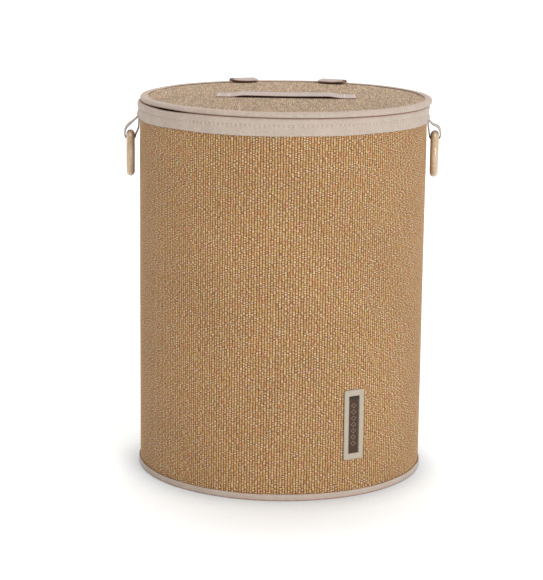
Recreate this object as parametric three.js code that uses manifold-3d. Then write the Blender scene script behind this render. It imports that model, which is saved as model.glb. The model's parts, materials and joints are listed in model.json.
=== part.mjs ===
// A round fabric storage bin with a hinged lid and a wooden ring handle on each side.
//
// Millimetres, +Z up. The front faces -Y, and the origin is the centre of the underside, on the floor.
// Every layer of the cloth and board sandwich is a solid of its own, a small gap away from the next.

import Module from "manifold-3d";
import * as THREE from "three";
import { mergeVertices } from "three/addons/utils/BufferGeometryUtils.js";

// Driving dimensions ------------------------------------------------------------------------------

const WALL_RADIUS = 190; // outside of the woven wall
const GAP = 0.3; // clearance between neighbouring layers
const AROUND = 64; // sides of every large round piece

// The wall, from the outside inwards
const WALL_FABRIC = 1.2;
const WALL_BOARD = 2.2;
const WALL_LINING = 1.0;
const WALL_BOTTOM = 1.6;
const WALL_TOP = 484;

// The tape bound over the rim, round the hoop wire
const BAND_BOTTOM = 470;
const BAND_TOP = 492.2;
const BAND_TAPE = 1.3;
const BAND_BULGE = 1.7; // how far the hoop pushes the tape out beyond its flat lower edge
const HOOP_RADIUS = 1.8;
const HOOP_HEIGHT = 487.4;
const HOOP_SIDES = 8; // of the wire's section

// The foot of the wall and the floor of the bin
const FOOT_HEIGHT = 8.6;
const FOOT_TAPE = 1.2;
const FOOT_LIP = 13; // how far the foot tape reaches under the wall
const BASE_COVER = 1.2;
const BASE_BOARD = 3.0;
const BASE_LINING = 0.8;

// The lid rests on the rim, a little off centre
const LID_SHIFT = 3.5;
const LID_RADIUS = 192.6;
const LID_BOTTOM = BAND_TOP + GAP;
const LID_THICKNESS = 7;
const LID_EDGE_TAPE = 1.2;
const LID_EDGE_REACH = 10; // how far the edge tape covers the lid's top and underside
const LID_EDGE_ROUND = 2.4;
const LID_CLOTH = 0.6;
const LID_BOARD = 2.2;

// The flat pull strap across the lid
const PULL_LENGTH = 184;
const PULL_WIDTH = 39;
const PULL_TAB = 17;
const PULL_RISE = 2.0;
const WEBBING = 1.6;

// The two straps that hinge the lid at the back
const HINGE_ANGLES = { left: -18.9, right: 20.9 }; // degrees from the back, centred on the lid
const HINGE_WIDTH = 36;
const HINGE_CLEARANCE = 0.4;
const HINGE_FOOT = 473;
const HINGE_REACH = 26; // how far each strap reaches in over the lid before it folds under
const HINGE_FOLD = 14; // how far its end comes back under it

// The ring handles and the tape loops that hold them. The loops are limp, so each handle hangs its own
// way: its twist in degrees, anticlockwise from above, and its pivot, the middle of the ring's top.
const HANDLES = {
  left: { twist: 5.24, pivot: new THREE.Vector2(203, 445.8) },
  right: { twist: -3.44, pivot: new THREE.Vector2(201, 450.3) },
};
const RING_RADIUS = 25.4;
const RING_TUBE = 5.6;
const LOOP_ROOT = new THREE.Vector2(192.4, 468.4);
const LOOP_ROOT_RADIUS = 1.1;
const LOOP_TAPE = 1.8;
const LOOP_WIDTH = 12;
const LOOP_OFFSET = new THREE.Vector2(0.3, -0.2); // from the pivot to the middle of the loop's bend
const LOOP_INSIDE = 6.5;

// The label on the wall: a frame with a plate set in its window. Each size is the width round the
// wall, the height and the thickness.
const LABEL_ANGLE = 30.8; // degrees from the front, towards +X
const LABEL_HEIGHT = 96; // height of its middle above the floor
const FRAME_SIZE = [31, 92, 1.8];
const PLATE_SIZE = [15.4, 75.4, 1];

// Materials ---------------------------------------------------------------------------------------

function finish(color, roughness, metalness = 0) {
  return new THREE.MeshStandardMaterial({ color, roughness, metalness });
}

const WOVEN = finish(0xaf8b66, 0.95);
const LID_WOVEN = finish(0xb6a08b, 0.95);
const TAPE = finish(0xc9baab, 0.9);
const LINING = finish(0xd9cfc0, 0.9);
const BOARD = finish(0xa79a86, 0.85);
const WOOD = finish(0xd1c1ab, 0.35);
const STEEL = finish(0x9a9c9f, 0.4, 1);
const PLATE = finish(0x5f4c3f, 0.6);

// Geometry helpers --------------------------------------------------------------------------------

// Turns an outline of [radius, height] pairs, given anticlockwise, about the upright axis.
function turned(outline) {
  const points = outline.map(([radius, height]) => new THREE.Vector2(radius, height));
  return new THREE.LatheGeometry(points, AROUND).rotateX(Math.PI / 2);
}

// A round sheet or board.
function disc(radius, bottom, thickness) {
  const top = bottom + thickness;
  return turned([[0, bottom], [radius, bottom], [radius, top], [0, top]]);
}

// A ring of any closed section.
function hoop(section) {
  return turned([...section, section[0]]);
}

// An upright sleeve.
function sleeve(outside, thickness, bottom, top) {
  const inside = outside - thickness;
  return hoop([[inside, bottom], [outside, bottom], [outside, top], [inside, top]]);
}

// Extrudes an outline drawn in the plane of x and height by a width along Y, centred on Y = 0.
function acrossY(shape, width, curveSegments = 8) {
  const settings = { depth: width, bevelEnabled: false, curveSegments };
  return new THREE.ExtrudeGeometry(shape, settings).translate(0, 0, -width / 2).rotateX(Math.PI / 2);
}

// The outline of a tape of one thickness that follows a curve.
function tapeOutline(curve, steps, thickness) {
  const above = [];
  const below = [];
  for (let i = 0; i <= steps; i++) {
    const middle = curve.getPoint(i / steps);
    const along = curve.getTangent(i / steps);
    const side = new THREE.Vector2(-along.y, along.x).multiplyScalar(thickness / 2);
    above.push(middle.clone().add(side));
    below.push(middle.clone().sub(side));
  }
  return new THREE.Shape([...above, ...below.reverse()]);
}

// A thin plate bent to the wall, drawn in plan as part of a ring and extruded upwards.
function wallPlate([width, height, thickness], insideRadius = WALL_RADIUS + GAP) {
  const middle = THREE.MathUtils.degToRad(LABEL_ANGLE - 90);
  const half = width / WALL_RADIUS / 2;
  const plan = new THREE.Shape();
  plan.absarc(0, 0, insideRadius + thickness, middle - half, middle + half, false);
  plan.absarc(0, 0, insideRadius, middle + half, middle - half, true);
  const settings = { depth: height, bevelEnabled: false, curveSegments: 8 };
  return new THREE.ExtrudeGeometry(plan, settings).translate(0, 0, LABEL_HEIGHT - height / 2);
}

const wasm = await Module();
wasm.setup();

function solidOf(geometry) {
  const bare = geometry.clone();
  bare.deleteAttribute("normal");
  bare.deleteAttribute("uv");
  const merged = mergeVertices(bare);
  const vertProperties = new Float32Array(merged.attributes.position.array);
  const triVerts = new Uint32Array(merged.index.array);
  return new wasm.Manifold(new wasm.Mesh({ numProp: 3, vertProperties, triVerts }));
}

// One geometry with another cut out of it.
function cut(geometry, tool) {
  const { vertProperties, triVerts } = solidOf(geometry).subtract(solidOf(tool)).getMesh();
  const left = new THREE.BufferGeometry();
  left.setAttribute("position", new THREE.BufferAttribute(vertProperties, 3));
  left.setIndex(new THREE.BufferAttribute(triVerts, 1));
  left.computeVertexNormals();
  return left;
}

// Bodies ------------------------------------------------------------------------------------------

const bin = new THREE.Group();
const lid = new THREE.Group();
lid.position.x = LID_SHIFT;
bin.add(lid);

function add(parent, name, geometry, material) {
  const mesh = new THREE.Mesh(geometry, material);
  mesh.name = name;
  parent.add(mesh);
  return mesh;
}

// The wall and its rim ----------------------------------------------------------------------------

const boardRadius = WALL_RADIUS - WALL_FABRIC - GAP;
const liningRadius = boardRadius - WALL_BOARD - GAP;
const liningInside = liningRadius - WALL_LINING;

function addWall() {
  add(bin, "wall_outer_fabric", sleeve(WALL_RADIUS, WALL_FABRIC, WALL_BOTTOM, WALL_TOP), WOVEN);
  add(bin, "wall_stiffener_board", sleeve(boardRadius, WALL_BOARD, WALL_BOTTOM, WALL_TOP), BOARD);
  add(bin, "wall_lining", sleeve(liningRadius, WALL_LINING, WALL_BOTTOM, WALL_TOP), LINING);
}

// The tape runs up the outside, over the hoop wire and down the inside of the wall.
function addRim() {
  const outside = WALL_RADIUS + GAP;
  const inside = liningInside - GAP;
  const flank = outside + BAND_TAPE;
  const bulge = flank + BAND_BULGE;
  const shoulder = HOOP_HEIGHT + 3.4;
  add(bin, "top_band", hoop([
    [outside, BAND_BOTTOM],
    [flank, BAND_BOTTOM],
    [flank + 0.4, HOOP_HEIGHT - 6],
    [bulge, HOOP_HEIGHT - 2],
    [bulge, HOOP_HEIGHT + 1.4],
    [bulge - 1.2, shoulder],
    [bulge - 3.2, BAND_TOP],
    [inside + 1.4, BAND_TOP],
    [inside - 0.6, shoulder],
    [inside - BAND_TAPE, HOOP_HEIGHT],
    [inside - BAND_TAPE, HOOP_HEIGHT - 9],
    [inside, HOOP_HEIGHT - 9],
    [inside, HOOP_HEIGHT],
    [inside + 1.2, shoulder - 0.6],
    [bulge - 3.4, shoulder - 0.3],
    [bulge - BAND_TAPE, HOOP_HEIGHT + 1],
    [bulge - BAND_TAPE, HOOP_HEIGHT - 2],
    [outside, WALL_TOP - 1.5],
  ]), TAPE);

  const wire = [];
  const middle = (inside + bulge - BAND_TAPE) / 2;
  for (let i = 0; i < HOOP_SIDES; i++) {
    const angle = (i / HOOP_SIDES) * 2 * Math.PI;
    wire.push([middle + HOOP_RADIUS * Math.cos(angle), HOOP_HEIGHT + HOOP_RADIUS * Math.sin(angle)]);
  }
  add(bin, "top_hoop_wire", hoop(wire), STEEL);
}

// The foot tape and the three layers of the base --------------------------------------------------

function addBase() {
  const outside = WALL_RADIUS + GAP + FOOT_TAPE;
  const lip = outside - FOOT_LIP;
  add(bin, "bottom_binding", hoop([
    [lip, 0],
    [outside - 0.6, 0],
    [outside, 0.6],
    [outside, FOOT_HEIGHT],
    [WALL_RADIUS + GAP, FOOT_HEIGHT],
    [WALL_RADIUS + GAP, FOOT_TAPE],
    [lip, FOOT_TAPE],
  ]), TAPE);

  const floorRadius = liningInside - GAP;
  const boardBottom = BASE_COVER + GAP;
  const liningBottom = boardBottom + BASE_BOARD + GAP;
  add(bin, "base_cover", disc(lip - GAP, 0, BASE_COVER), LINING);
  add(bin, "base_board", disc(floorRadius, boardBottom, BASE_BOARD), BOARD);
  add(bin, "base_lining", disc(floorRadius, liningBottom, BASE_LINING), LINING);
}

// The lid -----------------------------------------------------------------------------------------

const lidTop = LID_BOTTOM + LID_THICKNESS;
const lidClothTop = lidTop - LID_EDGE_TAPE - GAP;

function addLid() {
  const reach = LID_RADIUS - LID_EDGE_REACH;
  const web = LID_RADIUS - LID_EDGE_TAPE;
  const round = LID_RADIUS - LID_EDGE_ROUND;
  const eased = LID_RADIUS - LID_EDGE_ROUND * (1 - Math.SQRT1_2);
  const easing = LID_EDGE_ROUND * (1 - Math.SQRT1_2);
  add(lid, "lid_edge_binding", hoop([
    [reach, LID_BOTTOM],
    [round, LID_BOTTOM],
    [eased, LID_BOTTOM + easing],
    [LID_RADIUS, LID_BOTTOM + LID_EDGE_ROUND],
    [LID_RADIUS, lidTop - LID_EDGE_ROUND],
    [eased, lidTop - easing],
    [round, lidTop],
    [reach, lidTop],
    [reach, lidTop - LID_EDGE_TAPE],
    [web, lidTop - LID_EDGE_TAPE],
    [web, LID_BOTTOM + LID_EDGE_TAPE],
    [reach, LID_BOTTOM + LID_EDGE_TAPE],
  ]), TAPE);

  const inner = web - GAP;
  const clothBottom = lidClothTop - LID_CLOTH;
  add(lid, "lid_top_fabric", disc(inner, clothBottom, LID_CLOTH), LID_WOVEN);
  add(lid, "lid_board", disc(inner, clothBottom - GAP - LID_BOARD, LID_BOARD), BOARD);
  add(lid, "lid_lining", disc(inner, LID_BOTTOM + LID_EDGE_TAPE + GAP, LID_CLOTH), LINING);
}

// A flat arch of webbing, sewn down by a tab at each end.
function addPullStrap() {
  const low = lidClothTop + GAP + WEBBING / 2;
  const high = low + PULL_RISE;
  const end = PULL_LENGTH / 2;
  const seam = end - PULL_TAB;
  const points = [[-end, low], [-seam, low], [-seam + 7, low + 0.4 * PULL_RISE], [-seam + 18, high]];
  const arch = [...points, [0, high], ...points.map(([x, z]) => [-x, z]).reverse()];
  const curve = new THREE.SplineCurve(arch.map(([x, z]) => new THREE.Vector2(x, z)));
  add(lid, "lid_pull_strap", acrossY(tapeOutline(curve, 36, WEBBING), PULL_WIDTH), TAPE);
}

// The hinge straps --------------------------------------------------------------------------------

// Each strap is sewn to the band, stands up behind the lid, bends over its edge and is folded under
// itself, with its end sewn to the lid's edge tape. The path is drawn in the plane of radius and height.
function addHingeStrap(side) {
  const angle = THREE.MathUtils.degToRad(HINGE_ANGLES[side]);
  const lidReach = LID_RADIUS + LID_SHIFT * Math.sin(angle);
  const bandReach = WALL_RADIUS + GAP + BAND_TAPE + BAND_BULGE;
  const back = Math.max(lidReach, bandReach) + HINGE_CLEARANCE + WEBBING / 2;
  const nose = back - HINGE_REACH;
  const lower = lidTop + GAP + WEBBING / 2;
  const upper = lower + WEBBING + GAP;
  const bend = (upper - lower) / 2;
  const path = new THREE.Path();
  path.moveTo(back, HINGE_FOOT);
  path.lineTo(back, lidTop - 3);
  path.bezierCurveTo(back, lidTop + 1.4, back - 1.6, upper, back - 7, upper);
  path.lineTo(nose + bend, upper);
  path.absarc(nose + bend, lower + bend, bend, Math.PI / 2, 1.5 * Math.PI, false);
  path.lineTo(nose + HINGE_FOLD, lower);
  const strap = acrossY(tapeOutline(path, 64, WEBBING), HINGE_WIDTH);
  add(bin, `hinge_strap_${side}`, strap, TAPE).rotation.z = Math.PI / 2 - angle;
}

// The ring handles --------------------------------------------------------------------------------

// A tape loop hung from the band: one strand runs down the wall, turns under the ring and comes back
// up over its outside. It is drawn for the +X side.
function handleLoop(pivot) {
  const outside = LOOP_INSIDE + LOOP_TAPE;
  const { x, y } = pivot.clone().add(LOOP_OFFSET);
  const root = LOOP_ROOT;
  const slant = LOOP_ROOT_RADIUS * Math.SQRT1_2;
  const loop = new THREE.Shape();
  loop.moveTo(root.x - LOOP_ROOT_RADIUS, root.y);
  loop.lineTo(x - outside, y);
  loop.absarc(x, y, outside, Math.PI, 2 * Math.PI, false);
  loop.bezierCurveTo(x + outside, y + 10, root.x + 8, root.y - 4.2, root.x + slant, root.y + slant);
  loop.absarc(root.x, root.y, LOOP_ROOT_RADIUS, Math.PI / 4, Math.PI, false);

  const eye = new THREE.Path();
  eye.moveTo(x - LOOP_INSIDE, y);
  eye.absarc(x, y, LOOP_INSIDE, Math.PI, 2 * Math.PI, false);
  eye.bezierCurveTo(x + LOOP_INSIDE, y + 9, root.x + 6.6, root.y - 6, root.x + 1.3, root.y - 2.5);
  eye.lineTo(x - LOOP_INSIDE, y);
  loop.holes.push(eye);
  return acrossY(loop, LOOP_WIDTH, 10);
}

function addHandle(side) {
  const handle = new THREE.Group();
  const out = side === "right" ? 1 : -1;
  const { twist, pivot } = HANDLES[side];
  handle.position.x = out * LOOP_ROOT.x;
  handle.rotation.z = (out - 1) * Math.PI / 2 + THREE.MathUtils.degToRad(twist);
  bin.add(handle);
  add(handle, `${side}_handle_strap`, handleLoop(pivot), TAPE).position.x = -LOOP_ROOT.x;
  const torus = new THREE.TorusGeometry(RING_RADIUS, RING_TUBE, 12, 40).rotateY(Math.PI / 2);
  const ring = add(handle, `${side}_handle_ring`, torus, WOOD);
  ring.position.set(pivot.x - LOOP_ROOT.x, 0, pivot.y - RING_RADIUS);
}

// The label ---------------------------------------------------------------------------------------

function addLabel() {
  const [width, height, thickness] = PLATE_SIZE;
  const window = wallPlate([width + 2 * GAP, height + 2 * GAP, 4 * thickness], WALL_RADIUS - thickness);
  add(bin, "label_frame", cut(wallPlate(FRAME_SIZE), window), TAPE);
  add(bin, "label_plate", wallPlate(PLATE_SIZE), PLATE);
}

addWall();
addRim();
addBase();
addLid();
addPullStrap();
addHingeStrap("left");
addHingeStrap("right");
addHandle("left");
addHandle("right");
addLabel();

export default bin;
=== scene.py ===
# The looks of the round fabric storage bin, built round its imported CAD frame.
# Metres, +Z up, the front faces -Y. Angles run from the front, towards +X. Numbers times MM are in
# millimetres, and so are the points of a section or a route.

import json
import math

import bmesh
import bpy
import numpy as np
from mathutils import Matrix, Vector


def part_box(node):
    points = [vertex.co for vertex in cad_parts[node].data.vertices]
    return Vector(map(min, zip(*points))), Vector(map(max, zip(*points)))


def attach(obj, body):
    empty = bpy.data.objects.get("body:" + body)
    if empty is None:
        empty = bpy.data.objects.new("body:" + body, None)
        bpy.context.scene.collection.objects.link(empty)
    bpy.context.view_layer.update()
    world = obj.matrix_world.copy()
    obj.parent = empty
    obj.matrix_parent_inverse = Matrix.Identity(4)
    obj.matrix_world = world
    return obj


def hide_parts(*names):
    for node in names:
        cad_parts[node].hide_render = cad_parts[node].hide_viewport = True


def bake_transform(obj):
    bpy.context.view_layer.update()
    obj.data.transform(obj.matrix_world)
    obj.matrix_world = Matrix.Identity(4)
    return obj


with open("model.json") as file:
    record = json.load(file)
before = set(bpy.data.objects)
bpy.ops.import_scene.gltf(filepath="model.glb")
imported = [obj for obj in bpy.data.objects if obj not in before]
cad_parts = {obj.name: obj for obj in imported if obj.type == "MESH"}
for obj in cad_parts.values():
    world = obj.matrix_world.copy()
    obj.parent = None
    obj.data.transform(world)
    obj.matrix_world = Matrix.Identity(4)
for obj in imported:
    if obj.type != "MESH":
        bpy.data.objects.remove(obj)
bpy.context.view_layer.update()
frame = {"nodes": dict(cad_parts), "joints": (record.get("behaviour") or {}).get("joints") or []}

MM = 0.001
TURN = 2 * math.pi

# Places and sizes from the frame ------------------------------------

wall_low, wall_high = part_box("wall_outer_fabric")
band_low, band_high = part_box("top_band")
foot_low, foot_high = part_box("bottom_binding")
lid_low, lid_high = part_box("lid_edge_binding")
cloth_low, cloth_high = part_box("lid_top_fabric")
pull_low, pull_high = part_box("lid_pull_strap")

WALL_R = wall_high.x
LID_X = (lid_low.x + lid_high.x) / 2

# Cloth --------------------------------------------------------------

CORDS = 340  # upright cords round the wall
CORD = TURN * WALL_R / CORDS  # from one cord to the next
WEFT = 2.9 * MM  # from one crossing thread to the next
CORD_DEPTH = 0.4 * MM  # from a crest to the groove beside it
KNOT = 0.18 * MM  # how far a crossing thread pulls a crest in
WANDER = 0.08  # how far a cord strays sideways from knot to knot, as a share of CORD
SEAM = 0.55 * MM  # how far the wall's overlap stands out at the back
BACK_LAP = 7 * MM  # half the width of that overlap
WEBBING = 1.5 * MM  # how thick the pull strap and the hinge straps are
HINGE_WIDTH = 36 * MM

# Stitches in each row round the bin
RIM_STITCHES = 200
INSIDE_STITCHES = 340
FOOT_STITCHES = 372
LID_STITCHES = 344
RIM_ROW = 483 * MM  # height of the two rows on the rim band

# The slack place at the front left, where the lid and the band stand a little apart
SLACK_ANGLE = math.radians(-52)
SLACK_SPREAD = math.radians(11.5)
SLACK_LID = 0.9 * MM
SLACK_BAND = 1.1 * MM


# Materials ----------------------------------------------------------

WHITE = (1.0, 1.0, 1.0, 1.0)
# A near black, used for painted shade in the leather's hollows.
PAINTED_SHADE_BLACK = (0.012, 0.008, 0.005, 1.0)


def paint(red, green, blue):
    """A colour given as 8-bit sRGB, as the linear values that a shader takes."""
    shares = [value / 255 for value in (red, green, blue)]
    linear = [c / 12.92 if c <= 0.04045 else ((c + 0.055) / 1.055) ** 2.4 for c in shares]
    return (*linear, 1.0)


def dimmed(colour, *shares):
    """A colour with its red, green and blue each cut to a share."""
    return (*(c * share for c, share in zip(colour, shares)), 1.0)


class Shader:
    """A material's node tree, with a short method for each kind of node it uses."""

    def __init__(self, name, roughness, sheen=0.0):
        self.material = bpy.data.materials.new(name)
        self.material.use_nodes = True
        self.tree = self.material.node_tree
        self.surface = self.tree.nodes["Principled BSDF"]
        self.surface.inputs["Roughness"].default_value = roughness
        self.surface.inputs["Sheen Weight"].default_value = sheen
        self.surface.inputs["Specular IOR Level"].default_value = 0.25

    def join(self, socket, value):
        if isinstance(value, bpy.types.NodeSocket):
            self.tree.links.new(value, socket)
        else:
            socket.default_value = value

    def node(self, kind, inputs=None, **settings):
        made = self.tree.nodes.new("ShaderNode" + kind)
        for key, value in settings.items():
            setattr(made, key, value)
        for key, value in (inputs or {}).items():
            self.join(made.inputs[key], value)
        return made

    def maths(self, operation, *values):
        return self.node("Math", dict(enumerate(values)), operation=operation).outputs[0]

    def times(self, a, b):
        return self.maths("MULTIPLY", a, b)

    def plus(self, a, b):
        return self.maths("ADD", a, b)

    def uv(self):
        split = self.node("SeparateXYZ", {0: self.node("UVMap", uv_map="cloth").outputs[0]})
        return split.outputs[0], split.outputs[1]

    def vector(self, x, y, z=0.0):
        return self.node("CombineXYZ", {0: x, 1: y, 2: z}).outputs[0]

    def noise(self, vector, scale=1.0, detail=2.0, roughness=0.5):
        inputs = {"Vector": vector, "Scale": scale, "Detail": detail, "Roughness": roughness}
        return self.node("TexNoise", inputs).outputs[0]

    def chance(self, vector):
        return self.node("TexWhiteNoise", {"Vector": vector}).outputs["Value"]

    def contrasting_chance(self, column, row):
        """A chance value for each cell, about 0.5, that leans away from the cells on its four sides."""
        around = 0.0
        for across, along in ((1, 0), (-1, 0), (0, 1), (0, -1)):
            beside = self.vector(self.plus(column, across), self.plus(row, along), 1.0)
            around = self.plus(around, self.chance(beside))
        own = self.chance(self.vector(column, row, 1.0))
        lean = self.maths("SUBTRACT", own, self.times(around, 0.25))
        return self.plus(lean, 0.5)

    def step(self, value, low, high, to_low=0.0, to_high=1.0):
        """value mapped from low..high to to_low..to_high, smoothly, and held at the ends."""
        inputs = {0: value, 1: low, 2: high, 3: to_low, 4: to_high}
        return self.node("MapRange", inputs, interpolation_type="SMOOTHSTEP").outputs[0]

    def mix(self, share, a, b, blend="MIX"):
        made = self.node("Mix", data_type="RGBA", blend_type=blend)
        for index, value in ((0, share), (6, a), (7, b)):
            self.join(made.inputs[index], value)
        return made.outputs[2]

    def wave(self, value):
        """0 at whole numbers and 1 halfway between them."""
        return self.maths("ABSOLUTE", self.maths("SINE", self.times(value, math.pi)))

    def tinted(self, colour, tint):
        return self.mix(1.0, colour, tint, "MULTIPLY")

    def scaled(self, colour, factor):
        return self.tinted(colour, self.vector(factor, factor, factor))

    def painted_crevice_shade(self, colour, tint, reach, clear=0.75):
        """Painted shade: the colour, multiplied by tint in folds and seams narrower than reach.

        clear is how open a place has to be, from 0 to 1, to keep its own colour."""
        around = self.node("AmbientOcclusion", {"Color": WHITE, "Distance": reach}, samples=4)
        closeness = self.step(around.outputs["AO"], 0.1, clear, 1.0, 0.0)
        return self.mix(closeness, colour, self.tinted(colour, tint))

    def colour(self, value):
        self.join(self.surface.inputs["Base Color"], value)

    def bump(self, height, distance):
        made = self.node("Bump", {"Height": height, "Distance": distance, "Strength": 1.0})
        self.join(self.surface.inputs["Normal"], made.outputs[0])


def woven_cloth(name, cord_a, cord_b, groove, weft, fleck, variation, slubs):
    """Thick upright cords bound by crossing threads.

    The UV map counts cords one way and threads the other. variation is how unevenly the fibres in a cord
    are coloured, and slubs how much longer stretches differ."""
    s = Shader(name, roughness=0.7, sheen=0.05)
    x, y = s.uv()
    cord = s.maths("FLOOR", x)
    crest = s.wave(x)
    sway = s.times(s.noise(s.vector(x, y), 0.09), 1.6)
    shift = s.plus(s.times(s.chance(s.vector(cord, 3.0)), 0.2), sway)
    thread = s.plus(y, shift)
    half = s.times(thread, 2.4)
    cell = s.maths("FLOOR", half)
    luck = s.contrasting_chance(cord, cell)
    twist = s.wave(half)

    long_tone = s.noise(s.vector(s.times(cord, 7.3), s.times(y, 0.4)), 1.0, 3.0)
    body = s.mix(s.step(long_tone, 0.38, 0.62), cord_a, cord_b)
    body = s.scaled(body, s.step(luck, -0.2, 1.2, 1 - variation, 1 + variation))
    bright = s.times(s.step(luck, 0.7, 1.05, 0.0, 0.85), s.step(twist, 0.2, 0.7))
    body = s.mix(bright, body, fleck)
    dull = s.step(luck, 0.25, 0.05, 0.0, 0.4)
    body = s.mix(dull, body, groove)

    # The gaps between the cords take the dark groove colour, painted shade there, with the crossing
    # thread showing here and there.
    shown = s.step(luck, 0.3, 0.7, 0.15, 0.75)
    between = s.mix(s.times(s.step(s.wave(thread), 0.45, 0.95), shown), groove, weft)
    ground = s.mix(s.step(crest, 0.33, 0.68), between, body)

    patch = s.noise(s.vector(s.times(x, 0.28), s.times(y, 0.2)), 1.0, 3.0, 0.55)
    warm, green = (1.03, 0.97, 0.96, 1), (0.98, 1.02, 0.96, 1)
    hue = s.mix(s.step(patch, 0.38, 0.62), warm, green)
    broad = s.noise(s.vector(s.times(x, 0.035), s.times(y, 0.03), 7.0), 1.0, 3.0)
    slub = s.chance(s.vector(s.maths("FLOOR", s.times(x, 0.25)), s.maths("FLOOR", s.times(y, 2.4)), 9.0))
    tone = s.times(s.step(broad, 0.3, 0.7, 0.96, 1.04), s.step(slub, 0.0, 1.0, 1 - slubs, 1 + slubs))
    toned = s.scaled(s.tinted(ground, hue), tone)
    # Painted shade, brown, where the cloth is closed in: its grooves, and along the tapes and the label.
    s.colour(s.painted_crevice_shade(toned, (0.36, 0.24, 0.16, 1), 6 * MM))

    swell = s.times(s.step(crest, 0.0, 0.7), 0.5)
    knots = s.times(s.times(twist, s.step(crest, 0.2, 0.9)), 0.4)
    fuzz = s.times(s.noise(s.vector(s.times(x, 3.0), y), 2.0, 3.0), 0.35)
    s.bump(s.plus(s.plus(swell, knots), fuzz), 0.5 * MM)
    return s.material


def plain_cloth(name, colour, thread=0.75 * MM, depth=0.10 * MM, ribs=0.0, shade=6 * MM):
    """A fine plain weave, with the faint slubs and clouds of unbleached cotton. The UV map is in metres.

    ribs is the spacing of a webbing's ribs, and shade how far the painted shade, brown, reaches out of
    its folds and seams."""
    contrast = 0.1
    s = Shader(name, roughness=0.9, sheen=0.15)
    u, v = s.uv()
    across = s.maths("DIVIDE", u, thread)
    along = s.maths("DIVIDE", v, thread)
    long_slubs = s.noise(s.vector(across, s.times(along, 0.08)), 1.0, 2.0)
    cross_slubs = s.noise(s.vector(s.times(across, 0.08), along), 1.0, 2.0)
    slubs = s.plus(long_slubs, cross_slubs)
    cloud = s.noise(s.vector(u, v), 28.0, 4.0, 0.6)
    grain = s.step(slubs, 0.75, 1.25, 1 - contrast, 1 + contrast)
    cloudy = s.step(cloud, 0.3, 0.7, 1 - 0.6 * contrast, 1 + 0.5 * contrast)
    toned = s.scaled(colour, s.times(grain, cloudy))
    # Painted shade, brown, in folds and seams and under the straps.
    s.colour(s.painted_crevice_shade(toned, (0.8, 0.36, 0.2, 1), shade))
    weave = s.times(s.wave(across), s.wave(along))
    height = s.plus(weave, slubs)
    if ribs:
        rib = s.wave(s.maths("DIVIDE", v, ribs))
        height = s.plus(height, s.times(rib, 1.6))
    s.bump(height, depth)
    return s.material


def grey_board(name, colour):
    """Pressed board, flecked with its fibres."""
    s = Shader(name, roughness=0.9)
    fleck = s.noise(s.node("TexCoord").outputs["Object"], 900.0, 3.0, 0.7)
    s.colour(s.mix(s.step(fleck, 0.35, 0.65), colour, dimmed(colour, 0.75, 0.72, 0.7)))
    s.bump(fleck, 0.1 * MM)
    return s.material


def turned_wood(name, light, dark):
    """Pale lacquered wood, its grain running upright through the ring, with painted shade, brown, on the
    side that faces the wall close by.
    """
    s = Shader(name, roughness=0.32)
    s.surface.inputs["Coat Weight"].default_value = 0.35
    s.surface.inputs["Coat Roughness"].default_value = 0.18
    s.surface.inputs["Specular IOR Level"].default_value = 0.5
    x, y, z = s.node("SeparateXYZ", {0: s.node("TexCoord").outputs["Object"]}).outputs
    bend = s.times(s.noise(s.vector(x, y, z), 30.0, 2.0), 4.0)
    rings = s.wave(s.plus(s.times(y, 260.0), bend))
    pores = s.noise(s.vector(x, y, s.times(z, 0.08)), 1400.0, 3.0)
    figure = s.mix(s.step(rings, 0.1, 0.95, 0.15, 0.75), dark, light)
    grained = s.mix(s.step(pores, 0.56, 0.72, 0.0, 0.45), figure, dark)
    # Painted shade: the side of the ring that faces the wall, and any place closed in, is darkened.
    s.colour(s.painted_crevice_shade(grained, (0.62, 0.45, 0.3, 1), 14 * MM, clear=0.95))
    s.bump(pores, 0.03 * MM)
    return s.material


def hide(name, colour, roughness, grain, worn=None):
    """Leather: a pebbled grain with darker creases.

    Where worn is given, the mesh's raised relief is rubbed to that colour, and the hollows that its
    attribute marks are painted dark as shade."""
    s = Shader(name, roughness=roughness)
    u, v = s.uv()
    pebbles = s.node("TexVoronoi", {"Vector": s.vector(u, v), "Scale": 1 / grain}, feature="F1")
    fine = s.noise(s.vector(u, v), 3 / grain, 3.0)
    crease = s.step(pebbles.outputs[0], 0.25, 0.75)
    creased = s.mix(crease, colour, dimmed(colour, 0.88, 0.87, 0.86))
    if worn:
        relief_and_shade = s.node("Attribute", attribute_name="relief_and_shade").outputs["Fac"]
        rubbed = s.times(s.step(relief_and_shade, 0.45, 1.0), s.step(fine, 0.35, 0.6, 0.4, 1.0))
        # Painted shade, near black, in the hollows that the attribute marks.
        shaded_hollow = s.mix(s.step(relief_and_shade, 0.0, 0.3, 0.6, 0.0), creased, PAINTED_SHADE_BLACK)
        creased = s.mix(rubbed, shaded_hollow, worn)
    # Painted shade in folds and where the leather meets the wall and the frame.
    s.colour(s.painted_crevice_shade(creased, (0.45, 0.33, 0.26, 1), 7 * MM))
    s.bump(s.maths("SUBTRACT", s.times(fine, 0.5), crease), 0.06 * MM)
    return s.material


def steel(name):
    s = Shader(name, roughness=0.35)
    s.surface.inputs["Metallic"].default_value = 1.0
    dull = s.noise(s.node("TexCoord").outputs["Object"], 300.0, 3.0)
    s.colour(s.mix(s.step(dull, 0.4, 0.7), paint(165, 167, 170), paint(120, 122, 126)))
    return s.material


def sewing_thread(name, colour):
    """Plied thread. The UV map counts along the stitch and round it."""
    s = Shader(name, roughness=0.6, sheen=0.2)
    u, v = s.uv()
    ply = s.wave(s.plus(s.times(u, 3.0), s.times(v, 2.0)))
    # Darker between the plies: painted shade in the twist's grooves.
    s.colour(s.mix(ply, dimmed(colour, 0.7, 0.68, 0.66), colour))
    s.bump(ply, 0.05 * MM)
    return s.material


# Each groove colour is painted shade: the dark put into the gaps between the cords.
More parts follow.
